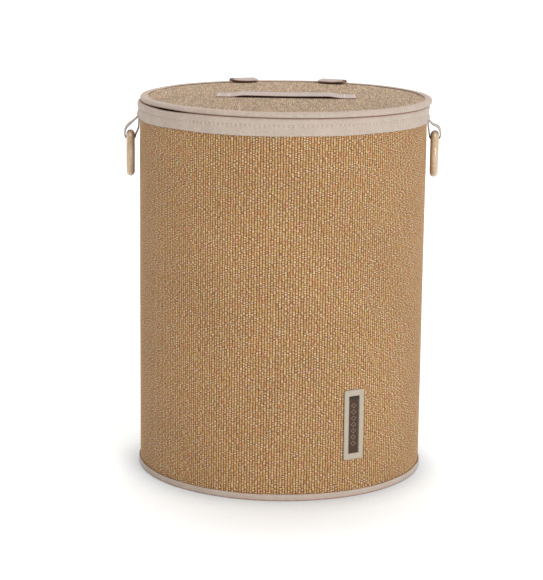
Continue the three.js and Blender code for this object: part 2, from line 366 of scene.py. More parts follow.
WOVEN = woven_cloth(
    "woven_wall_cloth",
    cord_a=paint(172, 141, 93),
    cord_b=paint(165, 125, 86),
    groove=paint(82, 46, 12),
    weft=paint(142, 108, 70),
    fleck=paint(212, 192, 174),
    variation=0.24,
    slubs=0.02,
)
LID_WOVEN = woven_cloth(
    "woven_lid_cloth",
    cord_a=paint(180, 162, 134),
    cord_b=paint(163, 140, 120),
    groove=paint(86, 64, 42),
    weft=paint(150, 128, 106),
    fleck=paint(236, 218, 200),
    variation=0.3,
    slubs=0.3,
)
CREAM = plain_cloth("cream_tape_cloth", paint(170, 157, 146))
# The webbing's painted shade reaches twice as far, darkening the insides of the handle loops and the gaps
# under the straps.
STRAP = plain_cloth("cream_webbing", paint(174, 165, 161), ribs=1.6 * MM, depth=0.14 * MM, shade=12 * MM)
LINING = plain_cloth("lining_cloth", paint(196, 187, 174), thread=0.6 * MM)
THREAD = sewing_thread("sewing_thread", paint(204, 190, 174))
BOARD = grey_board("grey_board", paint(168, 154, 132))
WOOD = turned_wood("ring_wood", paint(189, 169, 142), paint(173, 149, 118))
FRAME_HIDE = hide("label_frame_hide", paint(165, 156, 142), 0.6, 1.1 * MM)
PLATE_HIDE = hide("label_plate_hide", paint(61, 44, 32), 0.42, 0.8 * MM, worn=paint(164, 138, 114))
HOOP = steel("hoop_wire_steel")


# Mesh helpers -------------------------------------------------------

# Which way a ring of stitches faces, as a share outwards and a share upwards
OUTWARDS, INWARDS, UPWARDS = (1.0, 0.0), (-1.0, 0.0), (0.0, 1.0)


def grid(down, across):
    """Every pair of a value from down and a value from across, as a grid of points."""
    return np.stack(np.meshgrid(down, across, indexing="ij"), axis=-1)


def skin(name, points, uv, material, wrap_rows=False, wrap_columns=False, caps=False, merge=False):
    """A mesh through a grid of points. Where a way wraps, uv has one more row or column than points."""
    rows, columns = points.shape[:2]
    cells = grid(np.arange(rows - 1 + wrap_rows), np.arange(columns - 1 + wrap_columns))
    row, column = cells[..., 0].ravel(), cells[..., 1].ravel()
    corners = [(row, column), (row, column + 1), (row + 1, column + 1), (row + 1, column)]
    faces = np.stack([(r % rows) * columns + c % columns for r, c in corners], axis=1).tolist()
    loops = [np.stack([uv[r, c] for r, c in corners], axis=1).reshape(-1, 2)]
    if caps:
        last = (rows - 1) * columns
        faces += [list(range(columns)), list(range(last, last + columns))]
        loops += [uv[0, :columns], uv[rows - 1, :columns]]

    mesh = bpy.data.meshes.new(name)
    mesh.from_pydata(points.reshape(-1, 3).tolist(), [], faces)
    layer = mesh.uv_layers.new(name="cloth")
    layer.data.foreach_set("uv", np.concatenate(loops).ravel())
    mesh.materials.append(material)
    return finish_mesh(name, mesh, merge)


def link(name, data):
    """A new object in the scene."""
    made = bpy.data.objects.new(name, data)
    bpy.context.scene.collection.objects.link(made)
    return made


def finish_mesh(name, mesh, merge=False):
    """Points the faces outwards, smooths them and makes the object."""
    work = bmesh.new()
    work.from_mesh(mesh)
    if merge:
        bmesh.ops.remove_doubles(work, verts=work.verts, dist=1e-7)
    bmesh.ops.recalc_face_normals(work, faces=work.faces)
    work.to_mesh(mesh)
    work.free()
    mesh.shade_smooth()
    mesh.set_sharp_from_angle(angle=math.radians(50))
    return link(name, mesh)


def place(angle, radius, height, centre_x=0.0):
    """The point at an angle, a radius and a height, round an upright axis."""
    angle, radius, height = np.broadcast_arrays(angle, radius, height)
    return np.stack([centre_x + radius * np.sin(angle), -radius * np.cos(angle), height], axis=-1)


def lengths(points):
    """How far along a line of points each one is."""
    return np.concatenate([[0], np.cumsum(np.linalg.norm(np.diff(points, axis=0), axis=1))])


def closed(outline):
    """An outline with its first point again at its end."""
    return np.vstack([outline, outline[:1]])


def turned(name, profile, material, around, change, centre_x=0.0, disc=False):
    """Turns a section of (radius, height), in millimetres, about the upright axis.

    change(angle, radius, height) moves the points. A ring's section is a closed outline. A disc's starts
    and ends on the axis."""
    section = np.array(profile, float) * MM
    angle = np.arange(around)[:, None] * TURN / around
    radius, height = change(angle, section[None, :, 0], section[None, :, 1])
    points = place(angle, radius, height, centre_x)
    reach = section[:, 0].max()
    run = lengths(section if disc else closed(section))
    uv = grid(np.arange(around + 1) * TURN / around * reach, run)
    return skin(name, points, uv, material, wrap_rows=True, wrap_columns=not disc, merge=disc)


def eased(corners, size):
    """A closed outline with every corner rounded off over about size each way."""
    corners = np.array(corners, float)
    out = []
    for before, corner, after in zip(np.roll(corners, 1, 0), corners, np.roll(corners, -1, 0)):
        to_before, to_after = before - corner, after - corner
        start = corner + to_before * min(0.45, size / np.linalg.norm(to_before))
        end = corner + to_after * min(0.45, size / np.linalg.norm(to_after))
        for t in (0.0, 0.5, 1.0):
            out.append((1 - t) ** 2 * start + 2 * t * (1 - t) * corner + t * t * end)
    return np.array(out)


def curve(points, steps):
    """A smooth line through points, evenly spaced: a Catmull-Rom spline."""
    points = np.array(points, float)
    padded = np.vstack([2 * points[0] - points[1], points, 2 * points[-1] - points[-2]])
    fine = []
    for a, b, c, d in zip(padded, padded[1:], padded[2:], padded[3:]):
        for t in np.linspace(0, 1, 24, endpoint=False):
            square, cube = 2 * a - 5 * b + 4 * c - d, 3 * b - a - 3 * c + d
            fine.append(0.5 * (2 * b + (c - a) * t + square * t**2 + cube * t**3))
    fine = np.vstack([fine, points[-1]])
    run = lengths(fine)
    even = np.linspace(0, run[-1], steps)
    return np.stack([np.interp(even, run, fine[:, k]) for k in range(points.shape[1])], axis=1)


def smooth(value, low, high):
    """0 up to low, 1 from high, and an even ease between."""
    t = np.clip((value - low) / (high - low), 0, 1)
    return t * t * (3 - 2 * t)


def bell(value, centre, spread):
    """1 at the centre, falling away on both sides."""
    return np.exp(-(((value - centre) / spread) ** 2))


def ripple(angle, seed, orders):
    """A smooth wander round a ring, between about -1 and 1, the same each run."""
    rng = np.random.default_rng(seed)
    waves = [rng.uniform(0.4, 1) * np.sin(k * angle + rng.uniform(0, TURN)) for k in orders]
    return sum(waves) / math.sqrt(len(orders))


def signed(angle):
    """An angle between -pi and pi."""
    return (angle + math.pi) % TURN - math.pi


def unit(vectors):
    """Each row of vectors at a length of 1."""
    return vectors / np.linalg.norm(vectors, axis=1)[:, None]


def tape(name, path, side, width, thickness, material, across, shape=None):
    """A flat tape along a path, with side giving the direction of its width at each point.

    across is how many points span its width. shape(along, aside) returns an offset along the tape's own
    normal, with along from 0 to 1 and aside from -1 to 1."""
    out = unit(np.cross(unit(np.gradient(path, axis=0)), side))
    half, edge = width / 2, thickness / 2
    flat = np.linspace(-half + edge, half - edge, across)
    turn = np.linspace(-math.pi / 2, math.pi / 2, 5)[1:-1]
    top = np.stack([flat, np.full(across, edge)], axis=1)
    right = np.stack([half - edge + edge * np.cos(turn[::-1]), edge * np.sin(turn[::-1])], axis=1)
    left = np.stack([-half + edge - edge * np.cos(turn), edge * np.sin(turn)], axis=1)
    section = np.vstack([top, right, top[::-1] * [1, -1], left])
    points = path[:, None] + side[:, None] * section[None, :, :1] + out[:, None] * section[None, :, 1:]
    run = lengths(path)
    if shape:
        lift = shape(run[:, None] / run[-1], section[None, :, 0] / half)
        points = points + out[:, None] * lift[..., None]
    uv = grid(run, lengths(closed(section)))[..., ::-1]
    return skin(name, points, uv, material, wrap_columns=True, caps=True)


def stitches(name, places, ahead, out, length, radius):
    """Separate sewn stitches, each a small plump thread lying along ahead and standing along out."""
    places, ahead, out = (np.array(a, float) for a in (places, ahead, out))
    side = np.cross(ahead, out)
    spans = np.array([-1, -0.82, -0.4, 0.4, 0.82, 1])  # along half a stitch
    swell = np.array([0.05, 0.7, 1, 1, 0.7, 0.05])  # its radius there
    sink = np.array([-0.9, -0.25, 0, 0, -0.25, -0.9])  # and how far it dives into the cloth
    turns = 6
    angle = np.arange(turns) * TURN / turns
    along = np.repeat(spans, turns) * length / 2
    wide = np.outer(swell, np.cos(angle)).ravel() * radius
    tall = (np.outer(swell, np.sin(angle)) + sink[:, None]).ravel() * radius
    points = (
        places[:, None]
        + ahead[:, None] * along[None, :, None]
        + side[:, None] * wide[None, :, None]
        + out[:, None] * tall[None, :, None]
    )
    size = len(spans) * turns
    one = []
    for first in range(0, size - turns, turns):
        for c in range(turns):
            after = (c + 1) % turns
            one.append((first + c, first + after, first + turns + after, first + turns + c))
    one += [tuple(range(turns)), tuple(range(size - turns, size))]
    faces = [tuple(k * size + v for v in face) for k in range(len(places)) for face in one]
    mesh = bpy.data.meshes.new(name)
    mesh.from_pydata(points.reshape(-1, 3).tolist(), [], faces)
    mesh.uv_layers.new(name="cloth")
    local = np.stack([np.repeat(spans, turns), np.tile(angle / TURN, len(spans))], axis=1)
    map_points(mesh, np.tile(local, (len(places), 1)))
    mesh.materials.append(THREAD)
    return finish_mesh(name, mesh)


def map_points(mesh, uv):
    """Sets a mesh's UV map from one place for each of its points."""
    corner = np.zeros(len(mesh.loops), np.int32)
    mesh.loops.foreach_get("vertex_index", corner)
    mesh.uv_layers["cloth"].data.foreach_set("uv", uv[corner].ravel())


def ring_of_stitches(name, radius, height, count, length, thread, facing, centre_x=0.0, change=None):
    """A row of stitches round a ring, on cloth that faces outwards, inwards or upwards.

    change moves the row as it moves the points of a turned piece."""
    angle = np.arange(count) * TURN / count
    radius, height = np.full(count, radius), np.full(count, height)
    if change:
        radius, height = change(angle, radius, height)
    places = place(angle, radius, height, centre_x)
    ahead = np.stack([np.cos(angle), np.sin(angle), np.zeros(count)], axis=1)
    outwards = np.stack([np.sin(angle), -np.cos(angle), np.zeros(count)], axis=1)
    out = outwards * facing[0] + np.array([0, 0, 1]) * facing[1]
    return stitches(name, places, ahead, out, length, thread)


def lines_of_stitches(name, lines, out, spacing, length, thread, cross=None):
    """Stitches along straight lines, each a (start, end) pair on a surface that faces out.

    They lie along the line, or along cross where it is given."""
    places, ahead = [], []
    for start, end in lines:
        start, end = Vector(start), Vector(end)
        count = max(2, round((end - start).length / spacing))
        for k in range(count):
            places.append(start.lerp(end, (k + 0.5) / count))
            ahead.append(cross or (end - start).normalized())
    return stitches(name, places, ahead, [out] * len(places), length, thread)


def settle(piece, body, slot, *nodes):
    """Rides a finished piece on its body and hides the CAD nodes it stands for."""
    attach(piece, body)
    if nodes:
        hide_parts(*nodes)


# Camera, floor and light --------------------------------------------

CAMERA_AT = (0.041846, -2.651577, 0.800374)
LOOK_DOWN, LOOK_LEFT, ROLL = math.radians(12.015), math.radians(1.187), math.radians(0.668)


def make_camera():
    """The photograph's viewpoint, through a long lens."""
    data = bpy.data.cameras.new("camera")
    data.sensor_width = 36
    data.lens = 124.66
    camera = link("camera", data)
    look = Matrix.Rotation(LOOK_LEFT, 4, "Z") @ Matrix.Rotation(math.pi / 2 - LOOK_DOWN, 4, "X")
    camera.matrix_world = Matrix.Translation(CAMERA_AT) @ look @ Matrix.Rotation(ROLL, 4, "Z")
    bpy.context.scene.camera = camera


def soft_light(name, *, azimuth, elevation, strength, colour, spread):
    """A far, broad light, with its angles in degrees."""
    data = bpy.data.lights.new(name, "SUN")
    data.energy = strength
    data.color = colour
    data.angle = math.radians(spread)
    light = link(name, data)
    rise = math.radians(elevation)
    towards = Vector(place(math.radians(azimuth), math.cos(rise), math.sin(rise)))
    light.rotation_euler = towards.to_track_quat("Z", "Y").to_euler()
    light.location = towards * 3


def make_studio():
    """A white paper floor with a painted contact shadow round the bin, a white room that lights a little
    warmly, and three broad lights.
    """
    mesh = bpy.data.meshes.new("floor")
    half = 40.0
    corners = [(-half, -half, 0), (half, -half, 0), (half, half, 0), (-half, half, 0)]
    mesh.from_pydata(corners, [], [(0, 1, 2, 3)])
    floor = link("floor", mesh)
    s = Shader("floor_paper", roughness=0.9)
    paper = s.noise(s.node("TexCoord").outputs["Object"], 900.0, 3.0)
    white = s.mix(paper, (0.87, 0.93, 0.97, 1), (0.89, 0.95, 0.99, 1))
    # Painted shadow: the floor is darkened, greyish blue, within 60 mm of the bin.
    s.colour(s.painted_crevice_shade(white, (0.36, 0.39, 0.42, 1), 60 * MM, clear=1.0))
    s.surface.inputs["Emission Color"].default_value = (0.9, 0.95, 1.0, 1)
    s.surface.inputs["Emission Strength"].default_value = 0.13
    mesh.materials.append(s.material)

    world = bpy.data.worlds.new("studio")
    world.use_nodes = True
    tree = world.node_tree
    shown = tree.nodes.new("ShaderNodeMix")
    shown.data_type = "RGBA"
    shown.inputs[6].default_value = (0.77, 0.685, 0.615, 1)  # the light that the room gives
    shown.inputs[7].default_value = WHITE  # the room as the camera sees it
    tree.links.new(tree.nodes.new("ShaderNodeLightPath").outputs["Is Camera Ray"], shown.inputs[0])
    tree.links.new(shown.outputs[2], tree.nodes["Background"].inputs["Color"])
    bpy.context.scene.world = world

    soft_light("key", azimuth=32, elevation=17, strength=2.0, colour=(0.98, 1.0, 1.03), spread=30)
    soft_light("rim", azimuth=-120, elevation=10, strength=0.42, colour=(0.97, 1.0, 1.0), spread=30)
    soft_light("top", azimuth=180, elevation=66, strength=1.25, colour=(1.0, 1.0, 1.0), spread=35)
    bpy.context.scene.view_settings.view_transform = "Standard"


# The wall -----------------------------------------------------------

def slack(angle):
    """How near an angle is to the slack place at the front left, from 0 to 1."""
    return bell(signed(angle - SLACK_ANGLE), 0, SLACK_SPREAD)


def cord_height(cords):
    """How high a row of cords stands, from 0 in a groove, at whole numbers, to 1 on a crest."""
    return np.abs(np.sin(cords * math.pi)) ** 0.7


def make_wall():
    """The woven cloth: a thin closed shell with a rib for every cord and a knot at every crossing."""
    per_cord, thickness, inner_rows = 3, 1.15 * MM, 12
    columns = CORDS * per_cord
    rows = round((wall_high.z - wall_low.z) / WEFT)
    angle = np.arange(columns) * TURN / columns
    height = np.linspace(wall_low.z, wall_high.z, rows)
    grid_height, grid_angle = np.meshgrid(height, angle, indexing="ij")
    crest = cord_height(np.arange(columns) / per_cord)
    over = (np.arange(columns)[None] // per_cord + np.arange(rows)[:, None]) % 2
    wander = np.random.default_rng(41).normal(0, WANDER * CORD / WALL_R, (rows, CORDS))
    grid_angle = grid_angle + np.repeat(wander, per_cord, axis=1)
    rise = (grid_height - wall_low.z) / (wall_high.z - wall_low.z)
    sway = ripple(grid_angle + 1.5 * rise, 3, (2, 3, 5, 7)) * 0.35 * MM * np.sin(rise * math.pi)
    outer = WALL_R - CORD_DEPTH * (1 - crest)[None] - KNOT * over * crest[None] + sway
    from_seam = np.abs(signed(grid_angle - math.pi)) * WALL_R
    outer = outer + SEAM * smooth(BACK_LAP - from_seam, 0, 0.8 * MM)
    inner_height = np.linspace(wall_high.z, wall_low.z, inner_rows)
    inner = place(angle[None], WALL_R - thickness, inner_height[:, None])
    points = np.concatenate([place(grid_angle, outer, grid_height), inner])
    threads = np.concatenate([height, inner_height, height[:1]]) / WEFT
    uv = grid(threads, np.arange(columns + 1) / per_cord)[..., ::-1]
    piece = skin("wall_weave", points, uv, WOVEN, wrap_rows=True, wrap_columns=True)
    settle(piece, "bin", "woven_cloth", "wall_outer_fabric")

    face, clear = WALL_R + SEAM + 0.05 * MM, 2 * MM
    lines = []
    for side in (-1, 1):
        turn = side * (BACK_LAP - clear) / WALL_R
        x, y = face * math.sin(turn), face * math.cos(turn)
        lines.append(((x, y, foot_high.z + clear), (x, y, band_low.z - clear)))
    sewn = lines_of_stitches("back_seam_stitches", lines, (0, 1, 0), 4.2 * MM, 3.0 * MM, 0.3 * MM)
    settle(sewn, "bin", "woven_cloth")


def make_lining():
    """The inner cloth, a little loose between the rim and the floor, where it wrinkles."""
    low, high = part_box("wall_lining")
    radius = high.x / MM
    span = np.linspace(low.z / MM, high.z / MM, 40)
    profile = [(radius - 0.1, z) for z in span] + [(radius - 0.9, z) for z in span[::-1]]

    def wrinkle(angle, radius, height):
        rise = (height - low.z) / (high.z - low.z)
        loose = np.sin(np.clip(rise, 0, 1) * math.pi) * (rise > 0)
        folds = ripple(angle + 0.8 * rise, 21, (9, 14, 23, 31))
        folds = folds + 0.6 * ripple(angle - rise, 22, (47, 61))
        return radius - 0.5 * MM * loose * (1 + folds), height

    piece = turned("lining_wall", profile, LINING, around=420, change=wrinkle)
    settle(piece, "bin", "lining_cloth", "wall_lining")


def band_change(angle, radius, height):
    """The band puckers at its stitches, dips at the slack place and lifts over each handle's tape."""
    z = height / MM
    hem = 1 - smooth(z, 471, 480)
    from_tape = WALL_R * (math.pi / 2 - np.abs(signed(angle)))
    over_tape = 1 - smooth(np.abs(from_tape), 7 * MM, 13 * MM)
    lift = 2.1 * MM * (1 - smooth(z, 474, 481)) * over_tape
    stitch = np.cos(angle * RIM_STITCHES)
    swell = 0.25 * MM * stitch * bell(height, RIM_ROW, 3.5 * MM)
    dimple = 0.65 * MM * np.clip(-stitch, 0, 1) ** 4 * bell(height, RIM_ROW, 1.4 * MM)
    loose = 0.25 * MM * hem * ripple(angle, 5, (7, 11, 17)) * (1 - over_tape)
    broad = 0.3 * MM * ripple(angle, 6, (3, 4, 9))
    radius = radius + (radius > WALL_R) * (lift + swell - dimple + loose + broad)
    dip = SLACK_BAND * slack(angle) * smooth(z, 485, 491)
    return radius, height + 0.35 * MM * hem * ripple(angle, 7, (5, 8, 13)) - dip


def make_band():
    """The tape bound over the rim: a flat leg down each side of the wall, swollen over the hoop wire."""
    profile = eased([
        (190.35, 470), (191.75, 470), (191.8, 476), (191.85, 481.5), (191.55, 483), (192.5, 484.3),
        (193.15, 486.4), (193.2, 488.6), (192.6, 490.8), (190.9, 492.15), (188.4, 492.25), (186.0, 492.1),
        (184.2, 490.9), (183.45, 488.4), (183.45, 485), (183.8, 483), (183.45, 481.4), (183.4, 478.4),
        (184.7, 478.3), (184.7, 488), (186.2, 490.6), (190.0, 490.9), (191.7, 489.0), (191.8, 486.6),
        (190.45, 482.6),
    ], 0.7)
    piece = turned("rim_band", profile, CREAM, around=6 * RIM_STITCHES, change=band_change)
    settle(piece, "bin", "cream_tape", "top_band")
    outer = ring_of_stitches("rim_stitches", 191.75 * MM, RIM_ROW, RIM_STITCHES, 4.2 * MM, 0.44 * MM,
                             OUTWARDS, change=band_change)
    settle(outer, "bin", "cream_tape")
    inner = ring_of_stitches("rim_stitches_inside", 183.62 * MM, RIM_ROW, INSIDE_STITCHES, 2.5 * MM,
                             0.25 * MM, INWARDS)
    settle(inner, "bin", "cream_tape")


def foot_change(angle, radius, height):
    """The foot tape's upper edge wanders, and its end laps over its start at the front left."""
    top = smooth(height, 4 * MM, 8 * MM)
    lap_end, lap_middle = -0.86, -0.80
    lap = smooth(signed(angle - lap_end) * WALL_R, -0.2 * MM, 0.2 * MM)
    lap = lap * bell(signed(angle - lap_middle), 0, 0.05)
    loose = 0.25 * MM * ripple(angle, 9, (6, 11, 19)) * top
    radius = radius + (radius > WALL_R) * (loose + 0.45 * MM * lap)
    return radius, height + 0.3 * MM * ripple(angle, 10, (4, 7, 15)) * top


def make_foot():
    """The narrow tape round the foot, folded under the wall."""
    low, high = foot_low.z / MM, foot_high.z / MM
    profile = eased([
        (178.6, low), (190.6, low), (191.5, low + 1.2), (191.55, high - 1), (191.3, high), (190.35, high),
        (190.3, low + 1.3), (178.6, low + 1.2),
    ], 0.5)
    piece = turned("foot_binding", profile, CREAM, around=540, change=foot_change)
    settle(piece, "bin", "cream_tape", "bottom_binding")
    row = ring_of_stitches("foot_stitches", 191.55 * MM, 6.2 * MM, FOOT_STITCHES, 2.3 * MM, 0.22 * MM,
                           OUTWARDS, change=foot_change)
    settle(row, "bin", "cream_tape")


def round_cloth(name, node, body, seed, sag):
    """A round sheet of lining, closed, with a soft unevenness, that stands for a CAD node.

    Its UV map is laid on it from above, so that its weave runs straight across."""
    low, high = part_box(node)
    middle = (low + high) / 2
    size = high.x - low.x
    steps = np.linspace(0, size / 2 / MM - 0.3, 40)
    profile = [(r, high.z / MM) for r in steps] + [(size / 2 / MM, middle.z / MM)]
    profile += [(r, low.z / MM) for r in steps[::-1]]

    def uneven(angle, radius, height):
        soft = ripple(angle, seed, (2, 3, 5)) * np.sin(radius / (size / 2) * math.pi)
        return radius, height + sag * soft * (height > middle.z)

    piece = turned(name, profile, LINING, around=240, change=uneven, centre_x=middle.x, disc=True)
    map_points(piece.data, np.array([v.co[:2] for v in piece.data.vertices]))
    settle(piece, body, "lining_cloth", node)


# The lid ------------------------------------------------------------

def make_lid_cloth():
    """The lid's woven cloth, its cords running across the lid, as a thin closed sheet."""
    radius = cloth_high.x - LID_X
    count = round(2 * radius / CORD)
    per_cord, across, groove = 4, 72, 0.3 * MM
    rows = count * per_cord
    y = (np.arange(rows + 1) / rows * 2 - 1) * radius * 0.9999
    grid_y, share = np.meshgrid(y, np.linspace(-1, 1, across), indexing="ij")
    grid_x = share * np.sqrt(radius**2 - grid_y**2)
    crest = cord_height(np.arange(rows + 1) / per_cord)
    soft = 0.25 * MM * np.sin(grid_x * 31 + 1.0) * np.sin(grid_y * 27) * (1 - (grid_y / radius) ** 2)
    top = cloth_high.z - groove * (1 - crest)[:, None] + soft
    bottom = np.full_like(top, cloth_low.z + 0.02 * MM)
    upper = np.stack([grid_x + LID_X, grid_y, top], axis=-1)
    lower = np.stack([grid_x + LID_X, grid_y, bottom], axis=-1)[:, ::-1]
    points = np.concatenate([upper, lower], axis=1)
    flat = np.stack([grid_y / CORD, grid_x / WEFT], axis=-1)
    uv = np.concatenate([flat, flat[:, ::-1], flat[:, :1]], axis=1)
    piece = skin("lid_weave", points, uv, LID_WOVEN, wrap_columns=True, caps=True, merge=True)
    settle(piece, "lid", "lid_cloth", "lid_top_fabric")


def lid_change(angle, radius, height):
    """The lid's edge tape wanders a little and lifts at the slack place."""
    outer = smooth(radius / MM, 184, 191)
    radius = radius + 0.35 * MM * ripple(angle, 13, (3, 5, 8, 13)) * outer
    inner = 1 - smooth(radius / MM, 182, 185)
    radius = radius + 0.4 * MM * ripple(angle, 14, (9, 14, 22)) * inner
    lower = 1 - smooth(height / MM, 494, 498)
    upper = 0.2 * MM * ripple(angle, 15, (4, 7, 11)) * (1 - lower)
    return radius, height + SLACK_LID * slack(angle) * lower + upper


def make_lid_binding():
    """The tape bound over the lid's edge, with a row of stitches along its inner edge on top."""
    profile = eased([
        (182.6, 492.5), (187, 492.5), (190.6, 492.6), (192.2, 493.9), (192.7, 495.8), (192.6, 497.6),
        (191.6, 499.1), (189.2, 499.6), (186, 499.7), (183.4, 499.45), (182.6, 498.9), (182.7, 498.3),
        (191.2, 498.3), (191.4, 493.9), (182.6, 493.7),
    ], 0.6)
    piece = turned("lid_binding", profile, CREAM, around=720, change=lid_change, centre_x=LID_X)
    settle(piece, "lid", "cream_tape", "lid_edge_binding")
    row = ring_of_stitches("lid_stitches", 184.6 * MM, 499.6 * MM, LID_STITCHES, 2.3 * MM, 0.2 * MM,
                           UPWARDS, centre_x=LID_X, change=lid_change)
    settle(row, "lid", "cream_tape")


def make_pull_strap():
    """The flat webbing strap across the lid: a sewn tab at each end and a low free arch between."""
    middle = (pull_low.x + pull_high.x) / 2
    half = (pull_high.x - pull_low.x) / 2
    width = pull_high.y - pull_low.y
    low = pull_low.z + WEBBING / 2
    high = pull_high.z - WEBBING / 2
    seam = half - 17 * MM
    x = np.linspace(-half, half, 130)
    rise = smooth(seam - np.abs(x), 0, 20 * MM)
    z = low + (high - low) * rise - 0.25 * MM * np.cos(x / half * 5.0) * rise
    path = np.stack([x + middle, 0 * x, z], axis=1)
    side = np.tile([0.0, 1.0, 0.0], (len(x), 1))

    def cup(along, aside):
        free = smooth(seam / half - np.abs(along * 2 - 1), 0, 0.2)
        return -0.35 * MM * aside**2 * free

    piece = tape("pull_strap", path, side, width, WEBBING, STRAP, across=24, shape=cup)
    settle(piece, "lid", "cream_tape", "lid_pull_strap")
    reach = width / 2 - 2.5 * MM
    top = low + WEBBING / 2 + 0.05 * MM
    tacks = []
    for end in (-1, 1):
        for at in (seam + 1.6 * MM, half - 2.6 * MM):
            tacks.append(((middle + end * at, -reach, top), (middle + end * at, reach, top)))
    up, along = (0, 0, 1), (1, 0, 0)
    bars = lines_of_stitches("pull_strap_tacks", tacks, up, 1.15 * MM, 3.0 * MM, 0.3 * MM, cross=along)
    settle(bars, "lid", "cream_tape")


def make_hinge_strap(side):
    """A webbing hinge: sewn to the band, up behind the lid, over its edge and folded under itself."""
    node = frame["nodes"][f"hinge_strap_{side}"]
    low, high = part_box(node.name)
    outer = 1 if side == "right" else -1
    azimuth = math.atan2((low.x + high.x) / 2, (low.y + high.y) / 2)
    inwards = Vector((-math.sin(azimuth), -math.cos(azimuth), 0))
    across = Vector((math.cos(azimuth), -math.sin(azimuth), 0))
    reaches = [(node.matrix_world @ v.co).dot(inwards) for v in node.data.vertices]
    back = -min(reaches) - WEBBING / 2
    nose = (back + max(reaches) - WEBBING / 2) / MM
    upper = (high.z - WEBBING / 2) / MM
    lower = upper - 1.95  # the layer folded under
    top = lid_high.z / MM
    route = curve([
        (0, low.z / MM), (0, top - 16), (0, top - 8), (0.1, top - 2.5), (1.4, top + 1.2), (4.6, upper),
        (10, upper), (16, upper - 0.1), (nose - 2.2, upper), (nose - 0.5, upper - 0.35),
        (nose, upper - 1.0), (nose - 0.5, lower + 0.3), (nose - 2.2, lower), (nose - 9, lower - 0.1),
        (nose - 14, lower),
    ], 120) * MM
    path = np.array([inwards * (r - back) + Vector((0, 0, z)) for r, z in route])
    facing = np.tile(across, (len(path), 1))
    piece = tape(f"hinge_webbing_{side}", path, facing, HINGE_WIDTH, WEBBING, STRAP, across=26)
    shape_fold(piece, inwards, across * outer, back)
    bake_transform(piece)
    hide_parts(node.name)

    face = -inwards * (back + WEBBING / 2 + 0.05 * MM)
    reach, foot, head = across * (15 * MM), low.z + 2.2 * MM, low.z + 11 * MM
    ends = ((-1, foot), (1, foot), (1, head), (-1, head))
    a, b, c, d = (face + reach * end + Vector((0, 0, z)) for end, z in ends)
    box = [(a, b), (b, c), (c, d), (d, a), (a, c), (d, b)]
    sewn = lines_of_stitches(f"hinge_stitches_{side}", box, -inwards, 3.1 * MM, 2.5 * MM, 0.27 * MM)
    settle(sewn, "bin", "cream_tape")


def shape_fold(piece, inwards, outer, back):
    """Bows the fold's front edge and lifts its outer end, as stiff webbing does when it is folded."""
    points = np.array([v.co for v in piece.data.vertices])
    reach = points @ np.array(inwards) + back
    span = (points @ np.array(outer)) / (HINGE_WIDTH / 2)
    span -= (span.max() + span.min()) / 2
    over = smooth(reach, 4 * MM, 20 * MM) * (points[:, 2] > lid_high.z)
    points -= np.array(inwards) * (over * 4.0 * MM * span**2)[:, None]
    points[:, 2] += over * (1.5 * np.clip(span, 0, 1) ** 2 - 0.3 * np.clip(-span, 0, 1)) * MM
    piece.data.vertices.foreach_set("co", points.ravel())
    piece.data.update()


# The handles --------------------------------------------------------

def make_handle(side):
    """A tape loop hung from under the band, and a wooden ring in it. Both hang a little twisted."""
    joints = {joint["name"]: Vector(joint["pos_m"]) for joint in frame["joints"]}
    root = joints[f"{side}_strap_swing"]
    pivot = joints[f"{side}_ring_swing"]
    out = (pivot - root) * Vector((1, 1, 0))
    reach = out.length
    out.normalize()
    along = out.cross(Vector((0, 0, 1)))

    def hung(outwards, sideways, height):
        """Points outwards from the root, sideways along the tape's width, and at a height."""
        places = outwards[..., None] * np.array(out) + sideways[..., None] * np.array(along)
        return places + height[..., None] * np.array([0, 0, 1]) + np.array([root.x, root.y, 0])

    radius = 7.35  # of the tape's bend under the ring, which is centred on x, z
    x, z = reach / MM + 0.3, pivot.z / MM - 0.2
    drop = root.z / MM
    arc = [(x + radius * math.cos(a), z + radius * math.sin(a)) for a in np.linspace(math.pi, TURN, 11)]
    route = curve([
        (-0.9, drop + 6.5), (-0.75, drop + 1.5), (-0.6, drop - 4), (0.2, z + 8), *arc,
        (x + radius - 0.6, z + 5.5), (x + radius - 3.6, z + 11), (6.2, drop - 4.4), (2.2, drop - 1.0),
        (0.0, drop + 1.3), (-0.3, drop + 5.0),
    ], 140) * MM
    path = hung(route[:, 0], 0 * route[:, 0], route[:, 1])
    back = np.array(along) * math.copysign(1, along.y)
    outwards = unit(np.cross(np.gradient(path, axis=0), back))
    middle = hung(np.array([x * MM]), np.zeros(1), np.array([(z + 6) * MM]))
    outwards *= np.sign(np.sum(outwards * (path - middle), axis=1))[:, None]
    twist = 0.13 * bell(np.linspace(0, 1, len(path)), 0.74, 0.1)  # on the way back up
    facing = unit(back + outwards * twist[:, None])
    piece = tape(f"{side}_handle_tape", path, facing, 12.4 * MM, 1.9 * MM, STRAP, across=10)
    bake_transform(piece)
    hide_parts(f"{side}_handle_strap")

    ring_low, ring_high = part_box(f"{side}_handle_ring")
    centre_z = (ring_high.z + ring_low.z) / 2
    tube = ring_high.z - pivot.z
    around = (ring_high.z - ring_low.z) / 2 - tube
    turns, girths = 160, 32
    turn, girth = np.arange(turns + 1) * TURN / turns, np.arange(girths + 1) * TURN / girths
    grid_turn, grid_girth = np.meshgrid(turn[:-1], girth[:-1], indexing="ij")
    spread = around + tube * np.cos(grid_girth)
    height = centre_z + spread * np.cos(grid_turn)
    ring = hung(reach + tube * np.sin(grid_girth), spread * np.sin(grid_turn), height)
    uv = grid(turn * around, girth * tube)
    wood = skin(f"{side}_ring", ring, uv, WOOD, wrap_rows=True, wrap_columns=True)
    settle(wood, f"{side}_ring", "ring_wood", f"{side}_handle_ring")


# The label ----------------------------------------------------------

LABEL_HALF_WIDTH = 14.3 * MM
LABEL_BORDER = 6.6 * MM  # the frame's width at its sides
DIAMONDS = 7


